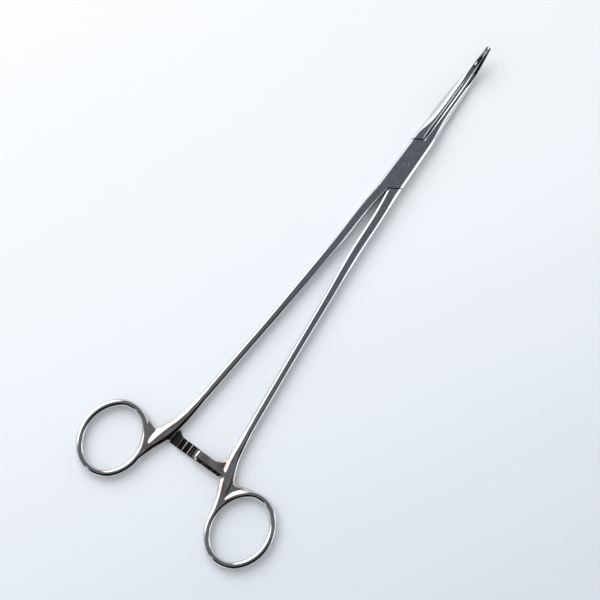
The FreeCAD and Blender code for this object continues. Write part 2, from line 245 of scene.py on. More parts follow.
window = glow(picture_up * 0.7 - picture_right * 0.7 + Vector((0, 0, 0.75)), 27.0, 36.0)
side_window = glow(picture_right + picture_up * 0.15 + Vector((0, 0, 0.5)), 7.0, 12.0)
dark_side = glow(-picture_up * 0.85 + picture_right * 0.42 + Vector((0, 0, 0.62)), 32.0, 43.0)
dark_end = glow(Vector((0.1, -0.6, 0.8)), 19.0, 25.0)
small_lamp = glow(Vector((-0.15, -0.55, 0.82)), 2.0, 3.5)
right_wall = glow(Vector((1.0, 0.12, 0.0)), 16.0, 30.0)
ceiling = tree.smoothly(height, 0.2, 0.78)
clutter = clutter_least + clutter_range * tree.noise(way, 2.6, 2.0)
level = (1.0 - ceiling_dimness * ceiling) * clutter + right_wall * wall_strength
level = level * (1.0 - shape_darkness * dark_side.at_least(dark_end))
level = level + window * window_strength + side_window * side_window_strength
level = level + small_lamp * small_lamp_strength
radiance = tree.colour_between(level / brightest, (0, 0, 0, 1), (3.86, 3.97, 4.12, 1))
room = tree.add("ShaderNodeBackground", {}, radiance, 1.0)
glossy = tree.add("ShaderNodeLightPath", {}, output=3)
plain = tree.add("ShaderNodeBackground", {}, (0.96, 0.98, 1.0, 1.0), 0.62)
mixed = tree.add("ShaderNodeMixShader", {}, glossy, plain, room)
tree.add("ShaderNodeOutputWorld", {}, mixed)

lamp_data = bpy.data.lights.new("softbox", "AREA")
lamp_data.shape = "RECTANGLE"
lamp_data.size = 1.5
lamp_data.size_y = 1.2
lamp_data.energy = 15.0
lamp_data.color = (0.97, 0.985, 1.0)
lamp = bpy.data.objects.new("softbox", lamp_data)
lamp.location = picture_up * 0.85 - picture_right * 0.6 + Vector((0.0, 0.0, 1.05))
lamp_target = Vector((0.0, -0.06, 0.0))
lamp.rotation_euler = (lamp_target - lamp.location).to_track_quat("-Z", "Y").to_euler()
lamp.visible_glossy = False
bpy.context.scene.collection.objects.link(lamp)


# The camera: held almost straight above the forceps, rolled so that they lie across the picture
# from lower left to upper right.

camera_distance = 0.9
pixels_along = 2080.9
picture_size = 600.0
lean_down = math.radians(5.92)
lean_right = math.radians(0.10)
turn = math.radians(0.05)
lean = picture_right * math.tan(lean_right) - picture_up * math.tan(lean_down)
toward = (Vector((0.0, 0.0, 1.0)) + lean).normalized()
right = picture_up.cross(toward).normalized()
up = toward.cross(right)
rolled_right = right * math.cos(turn) + up * math.sin(turn)
rolled_up = up * math.cos(turn) - right * math.sin(turn)
camera_data = bpy.data.cameras.new("camera")
camera_data.sensor_width = 36.0
camera_data.lens = pixels_along / picture_size * camera_data.sensor_width
camera_data.clip_start = 0.01
camera = bpy.data.objects.new("camera", camera_data)
rows = Matrix((rolled_right, rolled_up, toward)).transposed().to_4x4()
camera.matrix_world = Matrix.Translation(picture_middle + toward * camera_distance) @ rows
bpy.context.scene.collection.objects.link(camera)
bpy.context.scene.camera = camera
bpy.context.scene.view_settings.view_transform = "Standard"


# The steel of both halves: forged stainless, polished bright all over, then brushed satin on the
# lock's flat faces and on the flat tops beside it; the satin's darker, bluer tone is partly a
# painted reflection of the dim ceiling. Also painted into the colour: a brown painted reflection at
# the necks, black painted shade in the lock's joints, the crotch and the ratchet's recess, and a
# painted dark reflection at the tips.

bright_tones = ((0.63, 0.635, 0.65, 1.0), (0.67, 0.67, 0.675, 1.0))
# satin: a real brushed finish, its darker bluer tone partly a painted reflection of the dim ceiling
satin_and_painted_reflection_tones = ((0.385, 0.42, 0.475, 1.0), (0.46, 0.495, 0.55, 1.0))
# painted reflection: the warm brown that the necks mirror, painted into their colour
painted_brown_reflection = (0.48, 0.34, 0.28, 1.0)
# painted reflection: the dark that the curved tips mirror, painted into their colour
painted_dark_tip_reflection = (0.13, 0.135, 0.14, 1.0)
# painted shade: the black put where shade falls in the joints, the crotch and the ratchet's recess
painted_shade_black = (0.020, 0.024, 0.022, 1.0)
brown_reflection_share = 0.9
dark_tip_share = 0.85
valley_share = 0.94
crotch_share = 0.85
bare_roughness = 0.07
cloud_roughness = 0.03
satin_roughness = 0.13
grain_roughness = 0.06
painted_shade_roughness = 0.3
grain_height = 0.03

# where each begins and where it is full or gone
cloud_noise = (0.28, 0.72)
brown_reflection_noise = (0.43, 0.67)
level_facing = (0.955, 0.992)
satin_reach = (0.055, 0.130)
neck_back = (-0.178, -0.168)
neck_front = (-0.150, -0.136)
neck_side = (0.022, 0.030)
dark_tip_start = (0.0586, 0.0604)
valley_depth = (0.2 * mm, 0.6 * mm)
valley_side = (0.0145, 0.0155)
crotch_facing = (0.35, 0.6)
crotch_side = (2.6 * mm, 3.0 * mm)
crotch_back = (-0.034, -0.018)
crotch_front = (-0.0129, -0.0127)

# from, to and how softly it ends, across an oblique joint and along the ratchet
joint_width = (-0.1 * mm, 0.44 * mm, 0.06 * mm)
valley_length = (-0.1585, -0.1475, 0.4 * mm)
joint_reach = 12.9 * mm
joint_slant = math.tan(math.radians(32.0))
joint_corner = -0.02 * mm * mm
ratchet_split = 2.3 * mm


def between(tree, value, low, high, soft):
    """1 where a value lies from low to high, falling to 0 over a soft margin outside them."""
    return tree.smoothly(value, low - soft, low) * tree.fading(value, high, high + soft)


def steel(name, satin_share):
    material, tree = new_material(name)
    place = tree.add("ShaderNodeTexCoord", {}, output=3)
    x, y, z = tree.parts(place)
    facing = tree.parts(tree.add("ShaderNodeNewGeometry", {}, output=1))[2]
    beside_lock = tree.fading(abs(y), *satin_reach)
    satin = tree.smoothly(abs(facing), *level_facing) * beside_lock * satin_share
    strokes = (9000.0, 700.0, 9000.0)
    brushed = tree.add("ShaderNodeMapping", {"vector_type": "POINT"}, Vector=place, Scale=strokes)
    grain = tree.noise(brushed, 1.0, 4.0, Roughness=0.6)
    cloud = tree.smoothly(tree.noise(place, 1400.0, 6.0), *cloud_noise)
    # Painted reflection: patches of warm brown at the necks, for the brown surroundings they
    # mirror.
    brown_reflection_patches = tree.smoothly(tree.noise(place, 170.0, 4.0), *brown_reflection_noise)
    wave = tree.noise(place, 170.0, 1.0)
    at_necks = tree.fading(y, *neck_front) * tree.smoothly(y, *neck_back)
    at_necks = at_necks * tree.fading(abs(x), *neck_side)
    # Painted dark reflection: the jaws' curved ends past here are darkened, for the dark they
    # mirror.
    dark_tip = tree.smoothly(y, *dark_tip_start) * dark_tip_share
    bright = tree.colour_between(cloud, *bright_tones)
    bright = tree.colour_between(brown_reflection_patches * at_necks * brown_reflection_share, bright, painted_brown_reflection)
    bright = tree.colour_between(dark_tip, bright, painted_dark_tip_reflection)
    # The satin tone is partly painted reflection: darker and bluer, for the dim ceiling the tops
    # mirror.
    colour = tree.colour_between(satin, bright, tree.colour_between(cloud, *satin_and_painted_reflection_tones))
    # Painted shade: a black band along each oblique joint of the lock, on its walls and top, for
    # the gap's shadow.
    past_joint = abs(y) + abs(x) * joint_slant - joint_reach
    joint = between(tree, past_joint, *joint_width)
    joint = joint * tree.smoothly(0.0 - x * y, joint_corner, 0.0)
    # Painted shade: black on the low upward faces in the ratchet's recess, beside the arms.
    valley = tree.smoothly((ratchet_split - z) * facing, *valley_depth)
    valley = valley * between(tree, y, *valley_length)
    valley = valley * tree.fading(abs(x), *valley_side)
    # Painted shade: black on the shanks' near-upright inner faces just behind the lock, by the
    # crotch.
    crotch = tree.fading(abs(facing), *crotch_facing) * tree.fading(abs(x), *crotch_side)
    crotch = crotch * tree.smoothly(y, *crotch_back) * tree.fading(y, *crotch_front)
    # All the painted shade in one black, which also roughens the steel under it.
    painted_shade = joint.at_least(valley * valley_share).at_least(crotch * crotch_share)
    colour = tree.colour_between(painted_shade, colour, painted_shade_black)
    rough = bare_roughness + cloud_roughness * cloud
    rough = rough + satin * (satin_roughness + grain_roughness * grain)
    rough = rough + painted_shade * painted_shade_roughness
    relief = wave * (1.0 - satin) + grain * satin * grain_height
    bump = tree.add("ShaderNodeBump", {}, Strength=0.6, Distance=0.00006, Height=relief)
    metal = tree.add(
        "ShaderNodeBsdfPrincipled", {}, colour, Metallic=1.0, Roughness=rough, Normal=bump
    )
    tree.add("ShaderNodeOutputMaterial", {}, metal)
    return material


halves_steel = steel("polished_and_satin_steel", satin_share=1.0)


# The lock of each half: the left half's box with its slot, and the right half's tongue and
# shoulders, milled square, ground flat on top and bevelled along the sides.

lock_end = 14.5 * mm
corner_ease = 0.1 * mm
weld_reach = 0.000002
nearly_flat = math.radians(0.6)
half_pieces = {"female": [], "male": []}


def plain(obj):
    """The object's mesh with its modifiers applied, and the object removed."""
    ready = obj.evaluated_get(bpy.context.evaluated_depsgraph_get())
    mesh = bpy.data.meshes.new_from_object(ready, depsgraph=bpy.context.evaluated_depsgraph_get())
    bpy.data.objects.remove(obj)
    return mesh


def cad_part(node, planes):
    """A CAD node's mesh, joined up and cut off square outside each (point, outward way)."""
    shape = bmesh.new()
    shape.from_mesh(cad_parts[node].data)
    bmesh.ops.remove_doubles(shape, verts=shape.verts, dist=weld_reach)
    for point, outward in planes:
        whole = shape.verts[:] + shape.edges[:] + shape.faces[:]
        cut = bmesh.ops.bisect_plane(
            shape, geom=whole, plane_co=point, plane_no=outward, clear_outer=True
        )
        rim = [e for e in cut["geom_cut"] if isinstance(e, bmesh.types.BMEdge)]
        bmesh.ops.holes_fill(shape, edges=rim, sides=0)
    return shape


def keep_flat(obj):
    """Shades the broad faces flat, right up to their bevels."""
    weighted = obj.modifiers.new("flat faces", "WEIGHTED_NORMAL")
    weighted.keep_sharp = True
    weighted.weight = 90


for half in ("female", "male"):
    ends = [((0.0, end * lock_end, 0.0), (0.0, end, 0.0)) for end in (-1.0, 1.0)]
    shape = cad_part(half + "_half", ends)
    bmesh.ops.dissolve_limit(shape, angle_limit=nearly_flat, verts=shape.verts, edges=shape.edges)
    mesh = bpy.data.meshes.new(half + "_lock")
    shape.to_mesh(mesh)
    shape.free()
    lock = new_object(half + "_lock", mesh, halves_steel)
    mesh.shade_smooth()
    ease = lock.modifiers.new("eased corners", "BEVEL")
    ease.width = corner_ease
    ease.segments = 2
    ease.angle_limit = math.radians(25.0)
    keep_flat(lock)
    half_pieces[half].append(plain(lock))


# The shanks: long arms of the same forging, filed with crisp bevels beside the lock and
# polished round from the middle down to the handles.

corner_points = 5
turn_tangent = math.tan(math.radians(22.5))
most_reach = 0.495


def bevelled(inside, outside, low, high, inner, outer, inner_round, outer_round, inner_slope=1.0):
    """A section's outline: a rectangle with bevelled corners whose own corners are rounded off."""
    corners = (
        (inside + inner, low, inner_round),
        (outside - outer, low, outer_round),
        (outside, low + outer, outer_round),
        (outside, high - outer, outer_round),
        (outside - outer, high, outer_round),
        (inside + inner, high, inner_round),
        (inside, high - inner * inner_slope, inner_round),
        (inside, low + inner, inner_round),
    )
    outline = []
    for number, (x, z, rounding) in enumerate(corners):
        corner = Vector((x, z))
        before = Vector(corners[number - 1][:2]) - corner
        after = Vector(corners[(number + 1) % 8][:2]) - corner
        room = min(before.length * most_reach, after.length * most_reach)
        reach = min(rounding * turn_tangent, room)
        start = corner + before.normalized() * reach
        end = corner + after.normalized() * reach
        for step in range(corner_points):
            share = step / (corner_points - 1)
            outline.append(start.lerp(corner, share).lerp(corner.lerp(end, share), share))
    return outline


def domed(outline, drop, ridge, reach):
    """The outline with its upper half lowered, the more the farther a point is from a ridge."""
    middle = (min(p.y for p in outline) + max(p.y for p in outline)) / 2.0
    lower = []
    for p in outline:
        share = (p.x - ridge) / reach if p.y > middle else 0.0
        lower.append(Vector((p.x, p.y - drop * share * share)))
    return lower


def through(stations, at):
    """The values at a distance, on smooth curves through a table that starts with distances."""
    rows = np.array(stations, float)
    distances = rows[:, 0]
    slopes = np.gradient(rows, distances, axis=0)
    i = int(np.clip(np.searchsorted(distances, at) - 1, 0, len(rows) - 2))
    gap = distances[i + 1] - distances[i]
    t = (at - distances[i]) / gap
    row = (1 + 2 * t) * (1 - t) ** 2 * rows[i] + t * (1 - t) ** 2 * gap * slopes[i]
    row = row + t * t * (3 - 2 * t) * rows[i + 1]
    row = row - t * t * (1 - t) * gap * slopes[i + 1]
    return row[1:]


def lofted(name, rings, side, endless=False):
    """A closed mesh through rings of points given for the right side, mirrored for side -1."""
    shape = bmesh.new()
    loops = [[shape.verts.new((side * p[0], p[1], p[2])) for p in ring] for ring in rings]
    for first, second in zip(loops, loops[1:] + loops[:1] if endless else loops[1:]):
        for i in range(len(first)):
            j = (i + 1) % len(first)
            shape.faces.new((first[i], first[j], second[j], second[i]))
    for cap in () if endless else (shape.faces.new(loops[0][::-1]), shape.faces.new(loops[-1])):
        for edge in cap.edges:
            edge.smooth = False
    bmesh.ops.recalc_face_normals(shape, faces=shape.faces)
    mesh = bpy.data.meshes.new(name)
    shape.to_mesh(mesh)
    shape.free()
    made = new_object(name, mesh, halves_steel)
    mesh.shade_smooth()
    return made


# distance behind the rivet, offset of the middle, width, underside, height, bevels, how round they
# are and how far the top is domed
shank_stations = (
    (14.2, 2.555, 4.81, -0.01, 5.42, 0.5, 0.86, 0.07, 0.07, 0.0),
    (22.0, 3.27, 4.35, 0.08, 5.2, 0.6, 0.6, 0.07, 0.07, 0.0),
    (45.0, 4.5, 4.0, 0.2, 4.8, 0.6, 0.6, 0.15, 0.15, 0.0),
    (68.0, 6.5, 3.8, 0.3, 4.4, 0.68, 0.68, 0.9, 0.9, 0.1),
    (95.0, 8.72, 3.65, 0.3, 4.4, 0.72, 0.72, 1.22, 1.22, 0.25),
    (106.7, 9.78, 3.7, 0.2, 4.467, 0.73, 0.73, 1.24, 1.24, 0.3),
    (118.3, 10.84, 3.75, 0.1, 4.533, 0.75, 0.75, 1.26, 1.26, 0.35),
    (130.0, 11.9, 3.8, 0.0, 4.6, 0.78, 0.78, 1.3, 1.3, 0.4),
)
handle_back = 130.0
handle_lean = math.radians(6.0)
shank_steps = 110
taper_start = 127.5
end_taper = 0.06
lean_start = 118.0
lean_length = 12.0
# the right shank's inner bevel is filed flatter beside the lock: how much, and where that ends
flatter_share = 0.33
flatter_end = 80.0
flatter_fade = 35.0


def shank_ring(back, smaller, inner_slope=1.0):
    """The shank's section at a distance behind the rivet, leaning with the handle near its end."""
    row = through(shank_stations, min(back, handle_back))
    offset, width, low, height, inner, outer, inner_round, outer_round, dome = row
    past = max(0.0, back - handle_back)
    offset += past * math.tan(handle_lean)
    lean = handle_lean * min(1.0, max(0.0, (back - lean_start) / lean_length))
    half = width / 2.0 - smaller
    low, high = low + smaller, low + height - smaller
    outline = bevelled(-half, half, low, high, inner, outer, inner_round, outer_round, inner_slope)
    outline = domed(outline, dome, 0.0, half)
    return [
        ((offset + x * math.cos(lean)) * mm, (-back + x * math.sin(lean)) * mm, z * mm)
        for x, z in outline
    ]


shank_start = 14.2
shank_end = 131.0
for half, side in (("female", -1.0), ("male", 1.0)):
    rings = []
    for step in range(shank_steps + 1):
        back = shank_start + (shank_end - shank_start) * step / shank_steps
        flatter = min(1.0, max(0.0, (flatter_end - back) / flatter_fade)) if half == "male" else 0.0
        smaller = end_taper * max(0.0, back - taper_start)
        rings.append(shank_ring(back, smaller, 1.0 - flatter_share * flatter))
    shank = lofted(half + "_shank", rings, side)
    keep_flat(shank)
    half_pieces[half].append(plain(shank))


# The handles: a finger ring and a short neck in one with the shank, swept into each other and
# polished round. A flat ratchet arm grows from the inner side of each neck.

grain_size = 0.22 * mm
polish_passes = 16
neck_passes = 60
band_swell = 0.25
ratchet = {
    "female": {"low": 0.45, "high": 1.4, "past": 5.2, "root": 4.2},
    "male": {"low": 3.2, "high": 3.8, "past": 0.5, "root": 5.5},
}
arm_front = 152.0
arm_back = 157.2
arm_middle = -(arm_front + arm_back) / 2.0
arm_tip_radius = 1.2
arm_edge = 0.4
handle_offset = 11.9
handle_width = 3.8
handle_straight = 8.0


def handle_inside(back):
    """How far from the middle the handle's straight inner side runs."""
    half = handle_width / 2.0
    start = handle_offset - half * math.cos(handle_lean)
    return start + (back - handle_back - half * math.sin(handle_lean)) * math.tan(handle_lean)


arm_side = handle_inside(arm_front)


def arm_outline(past, root):
    """A ratchet arm in plan, for the right side: tip rounded, root swept into the neck."""
    outline = []
    corners = ((arm_front + arm_tip_radius, 90.0), (arm_back - arm_tip_radius, 180.0))
    for corner_back, first in corners:
        for step in range(7):
            angle = math.radians(first + 15.0 * step)
            x = -past + arm_tip_radius + arm_tip_radius * math.cos(angle)
            outline.append((x, -corner_back + arm_tip_radius * math.sin(angle)))
    outline.append((arm_side + handle_width / 2.0, -arm_back))
    outline.append((arm_side + handle_width / 2.0, -arm_front + root))
    for step in range(13):
        angle = math.radians(-7.5 * step)
        x = arm_side - root + root * math.cos(angle)
        outline.append((x, -arm_front + root + root * math.sin(angle)))
    return outline


def rounded_plate(name, outlines, low, high, round_edge):
    """A flat plate between two heights, from closed outlines in plan, its edges rounded inwards."""
    curve = bpy.data.curves.new(name, "CURVE")
    curve.dimensions = "2D"
    curve.fill_mode = "BOTH"
    curve.bevel_depth = round_edge * mm
    curve.bevel_resolution = 6
    curve.offset = -round_edge * mm
    curve.extrude = ((high - low) / 2.0 - round_edge) * mm
    for outline in outlines:
        spline = curve.splines.new("POLY")
        spline.points.add(len(outline) - 1)
        spline.use_cyclic_u = True
        for point, (x, y) in zip(spline.points, outline):
            point.co = (x * mm, y * mm, 0.0, 1.0)
    plate = bpy.data.objects.new(name, curve)
    plate.location.z = (high + low) / 2.0 * mm
    bpy.context.scene.collection.objects.link(plate)
    bpy.context.view_layer.update()
    matrix = plate.matrix_world.copy()
    mesh = plain(plate)
    mesh.transform(matrix)
    return mesh


def arc_points(centre, radius, start, end, steps):
    """Points round an arc, both ends included."""
    angles = [start + (end - start) * step / steps for step in range(steps + 1)]
    return [(centre[0] + radius * math.cos(a), centre[1] + radius * math.sin(a)) for a in angles]


def tangent_points(start, direction, end, steps):
    """Points along the arc that leaves start along a direction and runs to end, start left out."""
    start, direction, end = Vector(start), Vector(direction).normalized(), Vector(end)
    chord = end - start
    normal = Vector((-direction.y, direction.x))
    radius = chord.length_squared / (2.0 * chord.dot(normal))
    centre = start + normal * radius
    first = math.atan2(start.y - centre.y, start.x - centre.x)
    swing = 2.0 * math.atan2(chord.dot(normal), chord.dot(direction))
    return arc_points(centre, abs(radius), first, first + swing, steps)[1:]


ring_back = 169.8
ring_offset = 33.6
ring_band = 2.9
ring_half_x = 23.7 / 2.0
ring_end_radius = 9.8
ring_end_y = 29.7 / 2.0 - ring_end_radius
ring_spare = ring_half_x - ring_end_radius
ring_side_x = (ring_end_y**2 / ring_spare - ring_spare) / 2.0
ring_side_radius = ring_side_x + ring_half_x
ring_meet = math.atan2(ring_end_y, ring_side_x)
shoulder_angle = math.radians(102.0)
notch = (20.9, -155.4)
heel_back = 156.5
edge_round = 1.42


def ring_oval(band, end):
    """The finger ring's oval grown by a band, from its inner side round to an angle in front."""
    inner = (ring_offset + ring_side_x, -ring_back)
    back = (ring_offset, -ring_back - ring_end_y)
    outer = (ring_offset - ring_side_x, -ring_back)
    front = (ring_offset, -ring_back + ring_end_y)
    side, tight = ring_side_radius + band, ring_end_radius + band
    points = arc_points(inner, side, math.pi, math.pi + ring_meet, 12)
    points += arc_points(back, tight, math.pi + ring_meet, 2 * math.pi - ring_meet, 48)[1:]
    points += arc_points(outer, side, -ring_meet, ring_meet, 24)[1:]
    points += arc_points(front, tight, ring_meet, end, 40)[1:]
    return points


def closed_oval(band):
    """The whole oval of the finger ring, grown by a band."""
    inner = (ring_offset + ring_side_x, -ring_back)
    points = ring_oval(band, math.pi - ring_meet)
    points += arc_points(inner, ring_side_radius + band, math.pi - ring_meet, math.pi, 12)[1:-1]
    return points


def handle_outline():
    """The right handle in plan: down its outer side, round the ring and up its inner side."""
    along = Vector((math.sin(handle_lean), -math.cos(handle_lean)))
    across = Vector((math.cos(handle_lean), math.sin(handle_lean))) * (handle_width / 2.0)
    middle = Vector((handle_offset, -handle_back))
    bend = middle + across + along * handle_straight
    front = (ring_offset, -ring_back + ring_end_y)
    radius = ring_end_radius + ring_band
    shoulder_x = front[0] + radius * math.cos(shoulder_angle)
    shoulder = (shoulder_x, front[1] + radius * math.sin(shoulder_angle))
    shoulder_way = (-math.sin(shoulder_angle), math.cos(shoulder_angle))
    heel = (handle_inside(heel_back), -heel_back)
    points = [tuple(middle + across), tuple(bend)]
    points += tangent_points(bend, along, notch, 24)
    points += tangent_points(shoulder, shoulder_way, notch, 16)[-2::-1]
    points += ring_oval(ring_band, shoulder_angle)[::-1]
    ring_side = (ring_offset - ring_half_x - ring_band, -ring_back)
    points += tangent_points(ring_side, (0.0, 1.0), heel, 16)
    points.append(tuple(middle - across))
    return points


cap_points = 15
cap_rise = 1.2
web_low = 0.2
web_high = 3.8
handle_middle = 2.3
band_middle = (ring_band - band_swell) / 2.0 - 0.03
rod_steps = 40
# the shank's rod on its way through the neck into the ring: from the middle, back, width, height
neck_rod = (
    (11.9, 130.0, 3.2, 4.1),
    (12.8, 138.0, 4.0, 4.6),
    (14.2, 147.0, 4.9, 4.6),
    (16.6, 155.5, 6.2, 4.45),
    (19.0, 163.5, 4.5, 4.35),
    (20.3, 169.8, 3.1, 4.6),
)


def rod_rings(path, widths, heights, endless):
    """Sections across a path in plan: straight sides between two oval caps."""
    rings = []
    for number, (x, y) in enumerate(path):
        last = len(path) - 1
        before = path[number - 1] if number or endless else path[0]
        after = path[(number + 1) % len(path)] if number < last or endless else path[last]
        way = Vector((after[0] - before[0], after[1] - before[1])).normalized()
        ring = []
        for cap in (1.0, -1.0):
            for step in range(cap_points):
                angle = math.pi * step / (cap_points - 1)
                across = cap * math.cos(angle) * widths[number] / 2.0
                rise = cap * (heights[number] / 2.0 - cap_rise + cap_rise * math.sin(angle))
                z = handle_middle + rise
                ring.append(((x + way.y * across) * mm, (y - way.x * across) * mm, z * mm))
        rings.append(ring)
    return rings


def mirrored_plan(points, side):
    return [(side * x, y) for x, y in points]


# the rounded back of the right ratchet arm, which lies on top
dome_start = 14.5
dome_inset = 0.3
dome_half = 2.45
dome_nose = 0.8
dome_foot = 3.3
dome_rise = 1.0
dome_steps = 24
dome_sides = 12


def dome_rings(past):
    """Half-round sections along the arm from its root to its tip, where they close in."""
    rings = []
    for step in range(dome_steps + 1):
        x = dome_start - (dome_start + past - dome_inset) * step / dome_steps
        near_tip = max(0.0, 1.0 - (x + past) / dome_nose)
        narrow = dome_half * min(1.0, (1.0 - near_tip**2) ** 0.5)
        ring = [(x * mm, (arm_middle + way * narrow) * mm, dome_foot * mm) for way in (-1.0, 1.0)]
        for turn_step in range(1, dome_sides):
            angle = math.pi * turn_step / dome_sides
            y = arm_middle + narrow * math.cos(angle)
            ring.append((x * mm, y * mm, (dome_foot + dome_rise * math.sin(angle)) * mm))
        rings.append(ring)
    return rings


# the end of the shank inside the handle, from where it starts to where it has faded out
end_start = 124.0
end_step = 2.0
end_full = 3
end_fade = 0.012
end_sections = 9

# the neck, polished longer than the rest: its bounds from the middle and back, and how softly it
# fades at each
neck_inside, neck_inside_soft = 13.0, 1.5
neck_outside, neck_outside_soft = 28.0, 4.0
neck_start, neck_start_soft = 138.0, 8.0
neck_end, neck_end_soft = 171.0, 6.0


def neck_share(x, back):
    """How far a point of the handle belongs to the neck, 0 or less outside it."""
    across = min((x - neck_inside) / neck_inside_soft, (neck_outside - x) / neck_outside_soft)
    down = min((back - neck_start) / neck_start_soft, (neck_end - back) / neck_end_soft)
    return min(1.0, across, down)


for half, side in (("female", -1.0), ("male", 1.0)):
    arm = ratchet[half]
    shape = bmesh.new()
    outlines = [mirrored_plan(handle_outline(), side), mirrored_plan(closed_oval(0.0), side)]
    shape.from_mesh(rounded_plate(half + "_web", outlines, web_low, web_high, edge_round))
    band = closed_oval(band_middle)
    widths = [ring_band + band_swell] * len(band)
    rings = rod_rings(band, widths, [2.0 * handle_middle] * len(band), True)
    shape.from_mesh(plain(lofted(half + "_band", rings, side, endless=True)))
    backs = [(row[1],) + row for row in neck_rod]
    run = ring_back - handle_back
    stations = [
        through(backs, handle_back + run * step / rod_steps) for step in range(rod_steps + 1)
    ]
    path = [(row[0], -row[1]) for row in stations]
    rings = rod_rings(path, [row[2] for row in stations], [row[3] for row in stations], False)
    shape.from_mesh(plain(lofted(half + "_rod", rings, side)))
    outline = mirrored_plan(arm_outline(arm["past"], arm["root"]), side)
    shape.from_mesh(rounded_plate(half + "_arm", [outline], arm["low"], arm["high"], arm_edge))
    if half == "male":
        shape.from_mesh(plain(lofted(half + "_dome", dome_rings(arm["past"]), side)))
    end = [
        shank_ring(end_start + end_step * step, end_fade * max(0, step - end_full) ** 2)
        for step in range(end_sections)
    ]
    shape.from_mesh(plain(lofted(half + "_end", end, side)))
    mesh = bpy.data.meshes.new(half + "_handle")
    shape.to_mesh(mesh)
    shape.free()
    handle = new_object(half + "_handle", mesh, halves_steel)
    forging = handle.modifiers.new("one forging", "REMESH")
    forging.mode = "VOXEL"
    forging.voxel_size = grain_size
    forging.use_smooth_shade = True
    mesh = plain(handle)
    handle = new_object(half + "_handle", mesh, halves_steel)
    neck = handle.vertex_groups.new(name="neck")
    for vertex in mesh.vertices:
        share = neck_share(abs(vertex.co.x) / mm, -vertex.co.y / mm)
        if share > 0.0:
            neck.add([vertex.index], share, "REPLACE")
    for group, passes in (("", polish_passes), ("neck", neck_passes)):
        polish = handle.modifiers.new("polish", "SMOOTH")
        polish.factor = 0.5
        polish.iterations = passes
        polish.vertex_group = group
    half_pieces[half].append(plain(handle))


# The ratchet teeth: saw teeth cut across the facing sides of the two arms, which catch each
# other and hold the jaws shut. Those of the left arm point up, those of the right arm down.

tooth_pitch = 2.7 * mm
tooth_height = 0.85 * mm
tooth_land = 0.2 * mm
crest_round = 0.16 * mm
first_crest = 9.35 * mm
tooth_counts = {"female": 5, "male": 4}
tooth_feet = {"female": (1.3 * mm, 1.4 * mm), "male": (3.3 * mm, 3.2 * mm)}
tooth_inset = 0.05 * mm


def input_socket(tree, name, kind):
    return tree.interface.new_socket(name, in_out="INPUT", socket_type=kind).identifier


def copies_out(nodes, points, shape, finish, **placing):
    """Ends a tree with a copy of the shape on each point, made real and given its material."""
    copies = nodes.add("GeometryNodeInstanceOnPoints", {}, Points=points, Instance=shape, **placing)
    real = nodes.add("GeometryNodeRealizeInstances", {}, copies)
    done = nodes.add("GeometryNodeSetMaterial", {}, real, Material=finish)
    nodes.add("NodeGroupOutput", {}, done)


row_tree = bpy.data.node_groups.new("row of teeth", "GeometryNodeTree")
input_socket(row_tree, "Tooth", "NodeSocketGeometry")
row_count = input_socket(row_tree, "Count", "NodeSocketInt")
row_pitch = input_socket(row_tree, "Pitch", "NodeSocketVector")
row_material = input_socket(row_tree, "Material", "NodeSocketMaterial")
row_tree.interface.new_socket("Row", in_out="OUTPUT", socket_type="NodeSocketGeometry")
nodes = Tree(row_tree)
given = row_tree.nodes.new("NodeGroupInput")
tooth, count, pitch, finish = (Value(nodes, given.outputs[i]) for i in range(4))
points = nodes.add("GeometryNodeMeshLine", {"mode": "OFFSET"}, Count=count, Offset=pitch)
copies_out(nodes, points, tooth, finish)

for half, side in (("female", -1.0), ("male", 1.0)):
    way = -side
    foot, floor = tooth_feet[half]
    crest = floor + way * tooth_height
    front = -arm_front * mm
    back = -arm_back * mm
    profile = [
        (first_crest, foot),
        (first_crest, crest - way * crest_round),
        (first_crest - crest_round, crest),
        (first_crest - crest_round - tooth_land, crest),
        (first_crest - 3.0 * crest_round - tooth_land, crest - way * crest_round / 2.0),
        (first_crest - tooth_pitch, floor),
        (first_crest - tooth_pitch, foot),
    ]
    ends = [[(x, y, z) for x, z in profile] for y in (front - tooth_inset, back + tooth_inset)]
    tooth_body = lofted(half + "_tooth", ends, side)
    row = tooth_body.modifiers.new("row", "NODES")
    row.node_group = row_tree
    row[row_count] = tooth_counts[half]
    row[row_pitch] = (-side * tooth_pitch, 0.0, 0.0)
    row[row_material] = halves_steel
    mesh = plain(tooth_body)
    mesh.shade_flat()
    half_pieces[half].append(mesh)


# The jaws: slim, bevelled along both edges, with a rounded back, and curved upwards towards
# blunt tips. The right jaw is in one with the box, the left jaw with the tongue.

bend_start = 42.0
bend_radius = 27.0
bend_angle = math.radians(46.0)
bend_length = bend_radius * bend_angle
bend_height = 2.5
jaw_start = 14.2
jaw_end = bend_start + bend_length
jaw_mid = bend_start + 0.36 * bend_length
jaw_point = bend_start + 0.8 * bend_length
